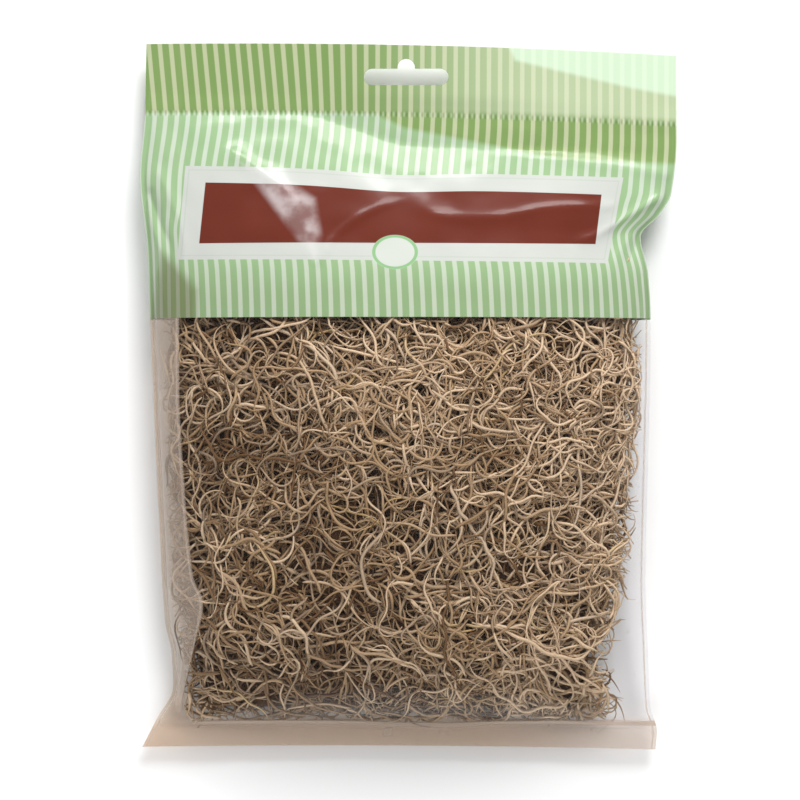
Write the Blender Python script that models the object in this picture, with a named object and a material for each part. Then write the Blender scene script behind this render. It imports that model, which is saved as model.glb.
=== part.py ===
"""A bunch of dried Spanish moss in its clear hanging bag, lying on its back.

Metres, +Z up, +Y towards the header, with the origin under the middle of the bag. The bag is
two webs of film, welded to each other all round, and the moss is one tangle between them.
"""

import math
import random

import bmesh
import bpy
from mathutils import Vector

MM = 0.001
SEED = 11

# Film, and the room kept between sheets that touch
FILM_THICK = 0.6 * MM
TOUCH_GAP = 0.3 * MM
WEB_OFFSET = (FILM_THICK + TOUCH_GAP) / 2

# Sides of the bag as seen from above, in millimetres, from the hem up to the header
LEFT_SIDE = [(-101.6, -134.0), (-95.6, -122.3), (-89.3, -110.0), (-89.8, -97.0),
             (-92.2, -85.0), (-94.2, -45.0), (-97.5, 30.0), (-98.6, 56.0),
             (-101.5, 84.0), (-99.9, 106.0), (-99.4, 134.0)]
RIGHT_SIDE = [(93.8, -134.5), (94.4, -127.0), (91.8, -118.0), (90.6, -95.0),
              (89.5, -70.0), (91.2, 30.0), (90.4, 46.0), (87.6, 60.5),
              (95.0, 69.0), (99.4, 77.0), (101.5, 98.0), (101.5, 134.0)]

# Header and hem edges at the middle, with their slant and their bow at the ends
HEADER_EDGE, HEADER_SLANT, HEADER_BOW = 133.1 * MM, -2.3 * MM, -1.7 * MM
HEM_EDGE, HEM_SLANT, HEM_BOW = -132.6 * MM, -0.5 * MM, -1.0 * MM

# Where the filled pouch starts above the hem and ends below the header, as shares of the height
HEM_SHARE = 0.032
SEAL_SHARE = 0.9015

# Heights above the surface that the bag lies on
HEM_RISE = 6 * MM
SIDE_RISE = 15.5 * MM
HEADER_RISE = 9 * MM
FRONT_BULGE = 29 * MM
BACK_BULGE = 24 * MM

# Fullness of the pouch: powers across it, then the share and power of the slope at each end
ACROSS_POWER, ACROSS_ROUND = 2.4, 0.6
HEM_SLOPE, HEM_ROUND = 0.17, 0.7
SEAL_SLOPE, SEAL_ROUND = 0.5, 0.9
WELD_SHARE = 0.016

# Grid of each web, with its rows partly drawn together towards both ends
COLUMNS, ROWS = 20, 19
ROW_PULL = 0.6

# Hanging slot in the header: a round-ended slot with a round notch above its middle
SLOT_CENTRE = (-0.9 * MM, 121.1 * MM)
SLOT_LENGTH, SLOT_HEIGHT = 32 * MM, 6.2 * MM
NOTCH_WIDTH, NOTCH_TOP = 6.6 * MM, 6.8 * MM
ARC_STEPS = 8
PUNCH_REACH = 5 * MM

# Printed band of the film, down to this height
PRINT_END = 30 * MM

# Moss core, within the strands that cover it, in plan a rectangle with very round corners
MOSS_LOW, MOSS_HIGH = -122 * MM, 77 * MM
CORE_MIDDLE = (-2 * MM, -22.5 * MM)
CORE_HALF_WIDTH, CORE_HALF_LENGTH = 79 * MM, 94 * MM
CORNER_POWER = 5
STRAND_LAYER = 4.4 * MM
RELIEF, RELIEF_SINK = 1.15 * MM, 0.8 * MM
RIDGE_SPACING = 22 * MM
LEAST_CORE = 1 * MM
CORE_COLUMNS, CORE_ROWS = 16, 18

# Moss strands
STRAND_RADIUS, TIP_RADIUS = 0.85 * MM, 0.5 * MM
STRAND_STEP = 4.2 * MM
STRAND_STEPS = (6, 9)
OPEN_BEND, TIGHT_BEND = (18 * MM, 60 * MM), (5.5 * MM, 11 * MM)
SUNK, LEAST_LIFT = 1.4 * MM, 0.45
LIFT_ROUND = 0.6
FREE_SHARE, FREE_RISE = 0.6, 0.35
MOSS_CLEAR = STRAND_RADIUS + FILM_THICK / 2 + TOUCH_GAP
SIDE_LOOK = 2.2 * MM
LEAST_ROOM = 1.2 * MM
HEADINGS = 16
TOP_ROOTS, UNDER_ROOTS, EDGE_ROOTS = (8, 8), (6, 7), 26
ROOT_SPREAD, EDGE_SPREAD = 0.88, 0.93
EDGE_FAN = 0.9


def clear_scene():
    """Removes whatever the scene holds."""
    for obj in list(bpy.data.objects):
        bpy.data.objects.remove(obj)


def tangents(points):
    """Slopes of a smooth curve through the points that never swings past one of them."""
    runs = [(b[0] - a[0]) / (b[1] - a[1]) for a, b in zip(points, points[1:])]
    inner = [2 * a * b / (a + b) if a * b > 0 else 0 for a, b in zip(runs, runs[1:])]
    return [runs[0]] + inner + [runs[-1]]


SLOPES = {"left": tangents(LEFT_SIDE), "right": tangents(RIGHT_SIDE)}


def side_x(name, points, y):
    """Distance of one side of the bag from the middle line, at the height y."""
    y = min(max(y / MM, points[0][1]), points[-1][1])
    i = next(i for i in range(len(points) - 1) if y <= points[i + 1][1])
    (x0, y0), (x1, y1) = points[i], points[i + 1]
    m0, m1 = SLOPES[name][i], SLOPES[name][i + 1]
    run = y1 - y0
    s = (y - y0) / run
    rest = 1 - s
    ends = x0 * (1 + 2 * s) * rest ** 2 + x1 * (3 - 2 * s) * s ** 2
    return (ends + run * s * rest * (m0 * rest - m1 * s)) * MM


def edges_at(u):
    """Heights of the hem and the header at u, which runs from -1 at left to 1 at right."""
    hem = HEM_EDGE + HEM_SLANT * u + HEM_BOW * u * u
    return hem, HEADER_EDGE + HEADER_SLANT * u + HEADER_BOW * u * u


def plan_point(u, v):
    """Place of (u, v) in plan, where v runs from 0 at the hem to 1 at the header."""
    hem, header = edges_at(u)
    y = hem + v * (header - hem)
    left, right = side_x("left", LEFT_SIDE, y), side_x("right", RIGHT_SIDE, y)
    return left + (u + 1) / 2 * (right - left), y


def share_at(x, y):
    """The (u, v) of a place in plan."""
    left, right = side_x("left", LEFT_SIDE, y), side_x("right", RIGHT_SIDE, y)
    u = 2 * (x - left) / (right - left) - 1
    hem, header = edges_at(u)
    return u, (y - hem) / (header - hem)


def fullness(u, v):
    """How far the pouch is filled at (u, v), from 0 on a weld to 1."""
    t = (v - HEM_SHARE) / (SEAL_SHARE - HEM_SHARE)
    across = abs(u) / (1 - WELD_SHARE)
    if not 0 < t < 1 or across >= 1:
        return 0.0
    rise = math.sin(math.pi / 2 * min(t / HEM_SLOPE, 1)) ** HEM_ROUND
    fall = math.sin(math.pi / 2 * min((1 - t) / SEAL_SLOPE, 1)) ** SEAL_ROUND
    return rise * fall * (1 - across ** ACROSS_POWER) ** ACROSS_ROUND


def rim_height(v):
    """Height of the weld between the webs, which is level at the hem and along the header."""
    t = min(max((v - HEM_SHARE) / (SEAL_SHARE - HEM_SHARE), 0), 1)
    arch = SIDE_RISE - (HEM_RISE + HEADER_RISE) / 2
    return HEM_RISE + (HEADER_RISE - HEM_RISE) * t + arch * math.sin(math.pi * t)


def web_height(u, v, side):
    """Height of the middle of a web's film: side is 1 for the front web and -1 for the back."""
    bulge = FRONT_BULGE if side > 0 else BACK_BULGE
    height = rim_height(v) + side * (bulge * fullness(u, v) + WEB_OFFSET)
    return max(height, FILM_THICK / 2)


def grid_shares():
    """The columns and rows of a web's grid, closer together towards the welds."""
    turns = [math.pi * (i / COLUMNS - 0.5) for i in range(COLUMNS + 1)]
    columns = [-1] + [(1 - WELD_SHARE) * math.sin(a) for a in turns] + [1]
    steps = [(1 - math.cos(math.pi * i / ROWS)) / 2 for i in range(ROWS + 1)]
    mixed = [ROW_PULL * s + (1 - ROW_PULL) * i / ROWS for i, s in enumerate(steps)]
    rows = [0] + [HEM_SHARE + (SEAL_SHARE - HEM_SHARE) * s for s in mixed] + [1]
    return columns, rows


def new_object(name, mesh_data, materials):
    """Puts finished bmesh data in the scene under a name."""
    mesh = bpy.data.meshes.new(name)
    mesh_data.to_mesh(mesh)
    mesh_data.free()
    for material in materials:
        mesh.materials.append(material)
    obj = bpy.data.objects.new(name, mesh)
    bpy.context.scene.collection.objects.link(obj)
    return obj


def plain_material(name, colour, roughness, alpha=1.0):
    """One Principled material."""
    material = bpy.data.materials.new(name)
    material.use_nodes = True
    shader = material.node_tree.nodes["Principled BSDF"]
    shader.inputs["Base Color"].default_value = (*colour, 1)
    shader.inputs["Roughness"].default_value = roughness
    shader.inputs["Alpha"].default_value = alpha
    return material


def slot_outline():
    """Outline of the hanging slot, anticlockwise from its lower right."""
    cx, cy = SLOT_CENTRE
    round_end, notch = SLOT_HEIGHT / 2, NOTCH_WIDTH / 2
    reach = SLOT_LENGTH / 2 - round_end
    arc = [math.pi * i / ARC_STEPS for i in range(ARC_STEPS + 1)]
    right = [(reach + round_end * math.sin(a), -round_end * math.cos(a)) for a in arc]
    top = [(notch * math.cos(a), NOTCH_TOP - notch + notch * math.sin(a)) for a in arc]
    left = [(-reach - round_end * math.sin(a), round_end * math.cos(a)) for a in arc]
    outline = right + [(notch, round_end)] + top + [(-notch, round_end)] + left
    return [(cx + x, cy + y) for x, y in outline]


def slot_cutter():
    """The punch that opens the hanging slot through both webs."""
    punch = bmesh.new()
    ring = [punch.verts.new((x, y, HEADER_RISE - PUNCH_REACH)) for x, y in slot_outline()]
    face = punch.faces.new(ring)
    drawn = bmesh.ops.extrude_face_region(punch, geom=[face])
    moved = [v for v in drawn["geom"] if isinstance(v, bmesh.types.BMVert)]
    bmesh.ops.translate(punch, verts=moved, vec=(0, 0, 2 * PUNCH_REACH))
    bmesh.ops.recalc_face_normals(punch, faces=punch.faces)
    cutter = new_object("slot_punch", punch, [])
    cutter.hide_render = True
    cutter.display_type = "WIRE"
    return cutter


def film_web(name, side, printed, clear, cutter):
    """One web of the bag, with its thickness and its half of the hanging slot."""
    columns, rows = grid_shares()
    sheet = bmesh.new()
    lines = []
    for v in rows:
        places = [(*plan_point(u, v), web_height(u, v, side)) for u in columns]
        lines.append([sheet.verts.new(place) for place in places])
    for low, high in zip(lines, lines[1:]):
        for i in range(len(columns) - 1):
            face = sheet.faces.new((low[i], low[i + 1], high[i + 1], high[i]))
            face.material_index = int(face.calc_center_median().y < PRINT_END)
            face.smooth = True
    if side < 0:
        bmesh.ops.reverse_faces(sheet, faces=sheet.faces)
    obj = new_object(name, sheet, [printed, clear])
    solidify = obj.modifiers.new("film", "SOLIDIFY")
    solidify.thickness = FILM_THICK
    solidify.offset = 0
    solidify.use_even_offset = True
    punched = obj.modifiers.new("slot", "BOOLEAN")
    punched.operation = "DIFFERENCE"
    punched.object = cutter
    return obj


def room_at(x, y):
    """Middle and half height of the room that the moss has at (x, y), clear of the film."""
    looks = [(0, 0), (SIDE_LOOK, 0), (-SIDE_LOOK, 0), (0, SIDE_LOOK), (0, -SIDE_LOOK)]
    shares = [share_at(x + dx, y + dy) for dx, dy in looks]
    ceiling = min(web_height(u, v, 1) for u, v in shares) - MOSS_CLEAR
    ground = max(web_height(u, v, -1) for u, v in shares) + MOSS_CLEAR
    return (ceiling + ground) / 2, (ceiling - ground) / 2


def core_place(a, b):
    """Place in plan of (a, b), which run from -1 to 1 over the core."""
    far = (abs(a) ** CORNER_POWER + abs(b) ** CORNER_POWER) ** (1 / CORNER_POWER)
    round_off = max(abs(a), abs(b)) / far if far else 1
    x = CORE_MIDDLE[0] + CORE_HALF_WIDTH * a * round_off
    return x, CORE_MIDDLE[1] + CORE_HALF_LENGTH * b * round_off


def core_half(x, y):
    """Half height of the moss core at (x, y), with its cords and hollows, or 0 outside it."""
    across = abs(x - CORE_MIDDLE[0]) / CORE_HALF_WIDTH
    along = abs(y - CORE_MIDDLE[1]) / CORE_HALF_LENGTH
    inside = 1 - across ** CORNER_POWER - along ** CORNER_POWER
    if inside <= 0:
        return 0.0
    a, b = 2 * math.pi * x / RIDGE_SPACING, 2 * math.pi * y / RIDGE_SPACING
    cords = math.sin(0.9 * a + 1.6 * math.sin(0.45 * b))
    cords += math.sin(0.8 * b + 2.1 * math.sin(0.4 * a))
    half = room_at(x, y)[1] - STRAND_LAYER + RELIEF * cords - RELIEF_SINK
    return max(half, LEAST_CORE) * inside ** 0.5


def moss_core():
    """The dense middle of the bunch, as a pillow whose two faces meet at its edge."""
    pillow = bmesh.new()
    grid = {}
    for j in range(CORE_ROWS + 1):
        for i in range(CORE_COLUMNS + 1):
            x, y = core_place(math.sin(math.pi * (i / CORE_COLUMNS - 0.5)), 2 * j / CORE_ROWS - 1)
            rim = i in (0, CORE_COLUMNS) or j in (0, CORE_ROWS)
            middle, half = room_at(x, y)[0], 0 if rim else core_half(x, y)
            top = pillow.verts.new((x, y, middle + half))
            grid[i, j] = (top, top if rim else pillow.verts.new((x, y, middle - half)))
    for i in range(CORE_COLUMNS):
        for j in range(CORE_ROWS):
            corners = [(i, j), (i + 1, j), (i + 1, j + 1), (i, j + 1)]
            for face in (0, 1):
                ring = [grid[corner][face] for corner in corners]
                pillow.faces.new(ring if face == 0 else ring[::-1])
    bmesh.ops.triangulate(pillow, faces=pillow.faces)
    bmesh.ops.recalc_face_normals(pillow, faces=pillow.faces)
    return pillow


def strand_path(rng, root, heading, side, free):
    """Points and radii of one curling strand, or None where it would leave the bunch."""
    steps = rng.randint(*STRAND_STEPS)
    start, end = 1 / rng.uniform(*OPEN_BEND), 1 / rng.uniform(*TIGHT_BEND)
    turn = rng.choice((-1, 1))
    lift = rng.uniform(LEAST_LIFT, 1) * STRAND_LAYER
    x, y = root
    points, radii = [], []
    for i in range(steps + 1):
        t = i / steps
        middle, half = room_at(x, y)
        if half < LEAST_ROOM or not MOSS_LOW < y < MOSS_HIGH:
            return None
        rise = math.sin(math.pi / 2 * min(t / FREE_RISE, 1)) if free else math.sin(math.pi * t)
        height = -SUNK + (lift + SUNK) * max(rise, 0) ** LIFT_ROUND
        points.append(Vector((x, y, middle + side * min(core_half(x, y) + height, half))))
        radii.append(STRAND_RADIUS + (TIP_RADIUS - STRAND_RADIUS) * t)
        heading += turn * STRAND_STEP * (start + (end - start) * t * t)
        x += STRAND_STEP * math.cos(heading)
        y += STRAND_STEP * math.sin(heading)
    return points, radii


def strand_tube(points, radii):
    """A three-sided tube along the points."""
    tube = bmesh.new()
    rings = []
    for i, point in enumerate(points):
        ahead, behind = points[min(i + 1, len(points) - 1)], points[max(i - 1, 0)]
        along = (ahead - behind).normalized()
        across = along.cross(Vector((0, 0, 1))).normalized()
        upward = across.cross(along)
        angles = [math.pi / 2 + 2 * math.pi * k / 3 for k in range(3)]
        spokes = [across * math.cos(a) + upward * math.sin(a) for a in angles]
        rings.append([tube.verts.new(point + radii[i] * spoke) for spoke in spokes])
    for low, high in zip(rings, rings[1:]):
        for k in range(3):
            tube.faces.new((low[k], low[(k + 1) % 3], high[(k + 1) % 3], high[k]))
    tube.faces.new(rings[0][::-1])
    tube.faces.new(rings[-1])
    bmesh.ops.triangulate(tube, faces=tube.faces)
    bmesh.ops.recalc_face_normals(tube, faces=tube.faces)
    return tube


def face_roots(rng, counts, side):
    """Roots spread evenly over the upper or the under face of the core."""
    columns, rows = counts
    for j in range(rows):
        for i in range(columns):
            a = ROOT_SPREAD * (2 * (i + rng.uniform(0.1, 0.9)) / columns - 1)
            b = ROOT_SPREAD * (2 * (j + rng.uniform(0.1, 0.9)) / rows - 1)
            yield core_place(a, b), rng.uniform(0, 2 * math.pi), side


def edge_roots(rng):
    """Roots spread round the edge of the core, which head outwards."""
    for i in range(EDGE_ROOTS):
        angle = 2 * math.pi * (i + rng.uniform(-0.2, 0.2)) / EDGE_ROOTS
        out = EDGE_SPREAD / max(abs(math.cos(angle)), abs(math.sin(angle)))
        place = core_place(out * math.cos(angle), out * math.sin(angle))
        yield place, angle + rng.uniform(-EDGE_FAN, EDGE_FAN), 1 if i % 2 else -1


def moss_strands(rng):
    """Every strand of the bunch, as a tube that starts inside the core."""
    roots = [*face_roots(rng, TOP_ROOTS, 1), *face_roots(rng, UNDER_ROOTS, -1), *edge_roots(rng)]
    for root, heading, side in roots:
        free = rng.random() < FREE_SHARE
        for turn in range(HEADINGS):
            path = strand_path(rng, root, heading + 2 * math.pi * turn / HEADINGS, side, free)
            if path:
                yield strand_tube(*path)
                break


def moss_bunch(material):
    """The bunch: strands fused to the core that they stand out of."""
    rng = random.Random(SEED)
    bunch = new_object("moss_bunch", moss_core(), [material])
    strands = bpy.data.collections.new("strands")
    bpy.context.scene.collection.children.link(strands)
    for tube in moss_strands(rng):
        strand = new_object("strand", tube, [material])
        bpy.context.scene.collection.objects.unlink(strand)
        strands.objects.link(strand)
    fused = bunch.modifiers.new("fused", "BOOLEAN")
    fused.operation = "UNION"
    fused.operand_type = "COLLECTION"
    fused.collection = strands
    fused.solver = "MANIFOLD"
    bpy.context.view_layer.update()
    graph = bpy.context.evaluated_depsgraph_get()
    whole = bpy.data.meshes.new_from_object(bunch.evaluated_get(graph))
    bunch.modifiers.clear()
    bunch.data = whole
    for strand in list(strands.objects):
        bpy.data.objects.remove(strand)
    bpy.data.collections.remove(strands)
    return bunch


def main():
    clear_scene()
    printed = plain_material("printed_film", (0.36, 0.53, 0.27), 0.25)
    clear = plain_material("clear_film", (0.86, 0.85, 0.83), 0.12, 0.3)
    dried = plain_material("dried_moss", (0.30, 0.22, 0.14), 0.85)
    cutter = slot_cutter()
    film_web("bag_front", 1, printed, clear, cutter)
    film_web("bag_back", -1, printed, clear, cutter)
    moss_bunch(dried)


main()
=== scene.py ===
"""Looks of a bunch of dried Spanish moss in its clear hanging bag, which lies on its back.

Shapes are worked out in millimetres, and a mesh turns them into metres. A place in plan is
(x, y), with x to the right and y from the hem up to the header. Heights rise off the surface.
"""

import math

import bpy
import numpy as np
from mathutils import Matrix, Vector, noise


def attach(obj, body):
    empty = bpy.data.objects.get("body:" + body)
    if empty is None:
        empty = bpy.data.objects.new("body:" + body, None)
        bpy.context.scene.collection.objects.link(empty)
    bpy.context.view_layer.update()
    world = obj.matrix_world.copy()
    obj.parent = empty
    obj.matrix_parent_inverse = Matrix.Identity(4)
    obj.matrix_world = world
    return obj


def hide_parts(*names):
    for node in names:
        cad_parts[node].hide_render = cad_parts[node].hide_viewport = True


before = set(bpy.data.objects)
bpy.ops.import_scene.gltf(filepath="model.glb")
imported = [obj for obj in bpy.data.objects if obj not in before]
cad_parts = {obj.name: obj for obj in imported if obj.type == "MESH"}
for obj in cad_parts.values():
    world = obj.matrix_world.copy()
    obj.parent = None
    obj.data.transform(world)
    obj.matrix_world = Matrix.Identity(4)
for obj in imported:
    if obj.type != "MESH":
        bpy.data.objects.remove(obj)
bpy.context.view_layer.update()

MM = 0.001
SEED = 7

# Bag in plan: its sides from the hem up to the header, and its lower and upper edges
LEFT_SIDE = [(-101.6, -134.0), (-95.6, -122.3), (-89.3, -110.0), (-89.8, -97.0),
             (-92.2, -85.0), (-94.2, -45.0), (-97.5, 30.0), (-98.6, 56.0),
             (-101.5, 84.0), (-99.9, 106.0), (-99.4, 134.0)]
RIGHT_SIDE = [(93.8, -134.5), (94.4, -127.0), (91.8, -118.0), (90.6, -95.0),
              (89.5, -70.0), (91.2, 30.0), (90.4, 46.0), (87.6, 60.5),
              (95.0, 69.0), (99.4, 77.0), (101.5, 98.0), (101.5, 134.0)]
HEADER_EDGE, HEADER_SLANT, HEADER_BOW = 133.1, -2.3, -1.7
HEM_EDGE, HEM_SLANT, HEM_BOW = -132.6, -0.5, -1.0
FLAT_WIDTH = 203

# Shares of the way from the hem's edge to the header's where the pouch starts and ends
HEM_SHARE, SEAL_SHARE = 0.032, 0.9015

# Heights of the weld above the surface, and how the pouch fills
HEM_RISE, SIDE_RISE, HEADER_RISE = 6, 15.5, 9
FRONT_BULGE, BACK_BULGE = 29, 24
ACROSS_POWER, ACROSS_ROUND = 2.4, 0.6
HEM_SLOPE, HEM_ROUND = 0.17, 0.7
SEAL_SLOPE, SEAL_ROUND = 0.5, 0.9
WELD_SHARE = 0.016
FILM_THICK, WEB_OFFSET = 0.12, 0.14

# Flat stretch of the front web under the seal, to the right of the slot
FLAT_STRETCH, FLAT_FROM, FLAT_TO = 0.045, -45, 5

# Grids of the webs, as columns and rows, with the rows that the hem and the header take
FRONT_GRID, BACK_GRID = (176, 216), (110, 150)
HEM_ROWS, HEADER_ROWS = 7, 26
CROWDING, CROWDED_ARC = 0.55, 0.985

# Hanging slot, and the height of the punch that cuts it
SLOT_CENTRE = (-0.9, 121.1)
SLOT_LENGTH, SLOT_HEIGHT = 32, 6.2
NOTCH_WIDTH, NOTCH_TOP = 6.6, 6.8
PUNCH_HEIGHT = 20
SHARP_EDGE = 50

# Print on the film: the striped band, and the bare label panel, banner and medallion on it
STRIPE_PITCH, GREEN_SHARE, STRIPE_BLUR = 4.25, 0.6, 0.035
CRIMP_PITCH = 2.0
FRONT_PRINT_END, BACK_PRINT_END = 29.4, 29.0
PANEL = [(-84.1, 86.9), (81.0, 82.6), (74.5, 49.9), (-86.6, 51.2)]
BANNER = [(-76.3, 80.4), (72.6, 76.0), (70.0, 57.1), (-78.3, 57.2)]
PANEL_LINE = 1.5
LABEL_SAG, SAG_MIDDLE, SAG_WIDTH = 1.5, -5, 24
SAG_HEIGHTS = (60, 76)
MEDALLION, MEDALLION_RADII = (-5.1, 53.7), (8.6, 6.5)
MEDALLION_RING = 0.92

# The print is held by the welded sides and the header, and leans at the header's left
TABLE_COLUMNS, TABLE_ROWS = 161, 181
HELD_SHARES, HELD_HEIGHTS = (0.72, 1), (60, 78)
LEAN, LEAN_START, LEAN_PLACES = 0.11, 107, (5, 60)

# Where the print looks different: a painted highlight in the corner of the header, darker ink
# where the webs lie together under the seal at right, which is partly painted shade, a painted
# highlight along a crumpled streak, and painted shade of the moss behind the folded left side
LIT_CORNER = [(30, 150), (120, 150), (120, 108), (101, 112.5), (68, 119.5), (41, 124.5)]
TOUCHING_SHADED = [(-20, 110), (104, 110), (104, 87), (57, 89), (30, 94.5), (-2, 101)]
STREAK = [(-66.3, 90), (-50, 85), (-34, 75), (-31.5, 60), (-34, 47)]
MOSS_SHADE = [(-94, 57), (-89, 53), (-80.5, 44), (-77.5, 40), (-77.5, 25), (-99, 25)]
# Heights over which the painted shade of the moss behind the print fades out
MOSS_SHADE_HEIGHTS = (36, 58)
# Places over which the painted highlight of the header by its seal grows
LIT_PLACES = (-30, 60)

# Right edge of the milky fold down the left side, its width at those heights, and its foot
FOLD_EDGE = [(-86.2, -115.2), (-82.6, -101.0), (-80.2, -91.8), (-77.4, -77.0), (-81.0, -67.9),
             (-83.0, -51.1), (-84.2, -35.2), (-86.2, 0.0), (-86.4, 28.0)]
FOLD_WIDTH = [(2.4, -116), (3.0, -104), (6.0, -92), (12.0, -77), (11.0, -50), (11.5, 30)]
FOLD_FOOT = (-122, -114)

# Hem: where its haze ends, its upper weld line and how far that wanders, the weld line down
# each side, and a small unwelded bubble
HEM_HAZE = (-128, -120)
HEM_WELD, WELD_WANDER, HEM_WELD_START = -124.2, 5, (-84, -78)
SIDE_WELD = 1.5
HEM_BUBBLE = [(-9.4, -126.2), (-6.2, -125.8), (-6.5, -128.8), (-9.6, -129.0)]

# How much of the film's looks the print covers, and how its gloss grows as it turns away
PRINT_COVER = 0.93
GLOSS_POWER, MOST_GLOSS, LEAST_GLOSS = 4, 0.5, 0.012

# Share of light that one face of the clear film lets through: it is tinted at the bag's margins
# on its back web only, where nothing but film shows
CLEAR = [0.985, 0.985, 0.985]
LEFT_TINT, RIGHT_TINT = [0.94, 0.885, 0.83], [0.985, 0.98, 0.985]
HEM_TINT, RIGHT_HEM_TINT = [0.886, 0.79, 0.70], [0.95, 0.93, 0.92]
LEFT_MARGIN, RIGHT_MARGIN, RIGHT_HEM = (-90, -80), (72, 84), (20, 90)

# Folds of the front web: where each runs, its height and its width
FOLDS = [
    ([(93.5, 74.5), (85.7, 69.8), (70.9, 60.9), (62.0, 57.5)], 1.9, 1.7),
    ([(76.0, 71.5), (52.4, 70.6), (33.9, 67.2), (11.6, 67.6), (4.0, 72.0)], 0.9, 1.6),
    ([(88.0, 61.0), (83.0, 52.0), (83.5, 42.0), (86.5, 34.0)], -1.3, 1.8),
    ([(92.0, 66.0), (86.0, 62.0), (78.0, 52.0), (76.5, 40.0)], 1.0, 1.9),
    ([(98.0, 84.0), (80.0, 86.5), (55.0, 89.5), (30.0, 92.0)], 1.1, 2.6),
    ([(-97.6, 76.5), (-92.8, 63.5), (-89.4, 54.3), (-92.5, 39.5)], -1.8, 1.7),
    ([(-99.0, 70.0), (-95.5, 60.0), (-93.0, 52.0), (-95.5, 44.0)], 1.0, 1.1),
    ([(-94.0, 84.0), (-86.0, 66.0), (-84.0, 52.0), (-87.5, 36.0)], 0.9, 2.0),
    ([(-65.4, 91.5), (-54.3, 83.2), (-43.9, 72.8), (-34.5, 48.0)], 1.9, 3.2),
    ([(-33.0, 50.0), (-25.4, 61.7), (-12.4, 70.2), (0.5, 73.8)], 0.8, 1.1),
    ([(-95.3, -122.4), (-87.6, -116.6), (-80.0, -113.0)], 1.2, 1.1),
    ([(-92.0, -108.0), (-86.5, -96.0), (-82.0, -84.0), (-88.5, -70.0)], 1.0, 1.4),
    ([(91.5, -119.0), (80.0, -116.0), (62.0, -117.5)], 0.9, 1.4),
]
FOLD_SHARPNESS, FOLD_TAPER = 1.25, 0.8

# Random relief, as height, size and seed: ripples of the front web, which slacken up towards
# the print, and waves of the header and the hem, where both webs move together
RIPPLES, CROSS_RIPPLES, RIPPLE_STRETCH = (0.9, 26, 3.1), (0.4, 13, 8.2), 0.7
SLACK_LEAST, SLACK_HEIGHTS = 0.35, (25, 60)
HEADER_WAVES, HEM_WAVES = (0.45, 30, 5.5), (0.5, 9, 4.4)
HEADER_SWELL, SWELL_LENGTH, SWELL_PHASE = 0.8, 31, 0.8

# Shares over which relief dies out at the edges of the pouch, and just under the seal
EDGE_FADE, SEAL_FADE = 0.03, 0.02

# Moss: how far it reaches at the left, at the right, below and above
MOSS_LEFT = [(-85.5, -123), (-84.0, -110), (-86.0, -90), (-89.5, -60), (-90.5, 0), (-90.0, 77)]
MOSS_RIGHT = [(77.0, -123), (75.5, -110), (73.5, -98), (79.0, -75), (80.5, -60), (84.5, -28),
              (86.5, -8), (84.0, 30), (80.0, 77)]
MOSS_LOW, MOSS_HIGH = -122.0, 76.0

# Room kept free beside, under and over the strands, and the least height that they wind in
EDGE_ROOM, FLOOR_ROOM, CEILING_ROOM, LEAST_ROOM = 3.0, 0.9, 1.0, 1

# Random patches of the bunch, as width, height and seed: sunken pockets darkened with painted
# shade, clumps of strands, and places where strands reach further over its outline
POCKETS, CLUMPS, RIM_PATCHES = (20, 12, 7.7), (19, 15, 2.6), (9, 9, 9.7)
POCKET_DEPTH, POCKET_START, POCKET_SHADE = 10.0, 0.1, 0.75
TIGHT_CLUMPS, LOOSE_CLUMPS = 1.1, 0.3
OVERREACH, PATCHY_OVERREACH, MOST_OVERREACH = 1.3, 2.0, 4

# Plan of a strand: how it arcs, sways and curls, and a full turn, near enough
ARC_SPREAD, MOST_ARC = 2.3, 5.5
SWAY, SWAY_LENGTH = (0.03, 0.24), (8, 24)
MOST_CURL, CURL_POWER = 0.42, 2.5
TIGHTEST_TURN, TURN = 0.36, 6.3

# Size of a strand, its tapers as shares of its length, and how it winds up and down
STRAND_RADIUS, TIP_RADIUS, SIDES = 0.46, 0.17, 4
THICKNESS, FLATNESS = (0.72, 1.3), (0.55, 0.95)
ROOT_TAPER, TIP_TAPER = (0, 0.06), (0.55, 1.0)
SWING, SWINGS = (0.4, 2.6), (0.6, 2.2)
TINY = 1e-9

# Fewest points of a strand, whole and once it is cut, and the faces that a piece may hold
FEWEST_POINTS, FEWEST_KEPT, PIECE_FACES = 6, 5, 95000

# Tone of a strand, from 0 for dark to 1 for light, and what makes it lighter or darker: painted
# light at the right and at the top, and painted shade deep down and at the sides
TONES, TONE_SPREAD = (0.04, 0.86), 0.12
RIGHT_LIGHT, RIGHT_PLACES = 0.40, (15, 75)
TOP_LIGHT, TOP_HEIGHTS = 0.12, (-20, 30)
DEPTH_SHADE, SIDE_SHADE = 0.05, 0.15

# Sprigs and single strands, and the strays at the right
STEM_LENGTHS, STEM_THICK = (38, 80), 1.15
LEAVES, LEAF_LENGTHS, LEAF_THICK, LEANS = (3, 7), (12, 34), 0.9, (0.25, 0.7)
SINGLE_LENGTHS = (16, 44)
STRAYS, STRAY_LENGTHS, STRAY_THICK, STRAY_STEP = 70, (9, 20), 0.55, 1.3
STRAY_HEIGHTS, STRAY_ROOTS, STRAY_LEAN = (MOSS_LOW + 3, 24), (1, 6), 1.3
STRAY_LAYER, STRAY_TONES, STRAY_REACH = (4, 16), (0.1, 0.9), (1, 9)

# Core of the bunch: its grid, its reach in plan, its depth under the webs, the powers that
# round it off, and its lumps as height, size and seed
CORE_GRID = (64, 72)
CORE_MIDDLE, CORE_REACH, CORE_ROOM = -22.5, 95, (4, 5)
CORE_DEPTH, LEAST_CORE, CORE_RIM = 6.5, 0.8, 0.02
CORE_CORNER, CORNER_ROUND, CORE_ROUND, END_ROUND = 0.14, 9, 6, 8
BIG_LUMPS, SMALL_LUMPS = (2.2, 9, 1.3), (1.0, 4, 6.1)

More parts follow.
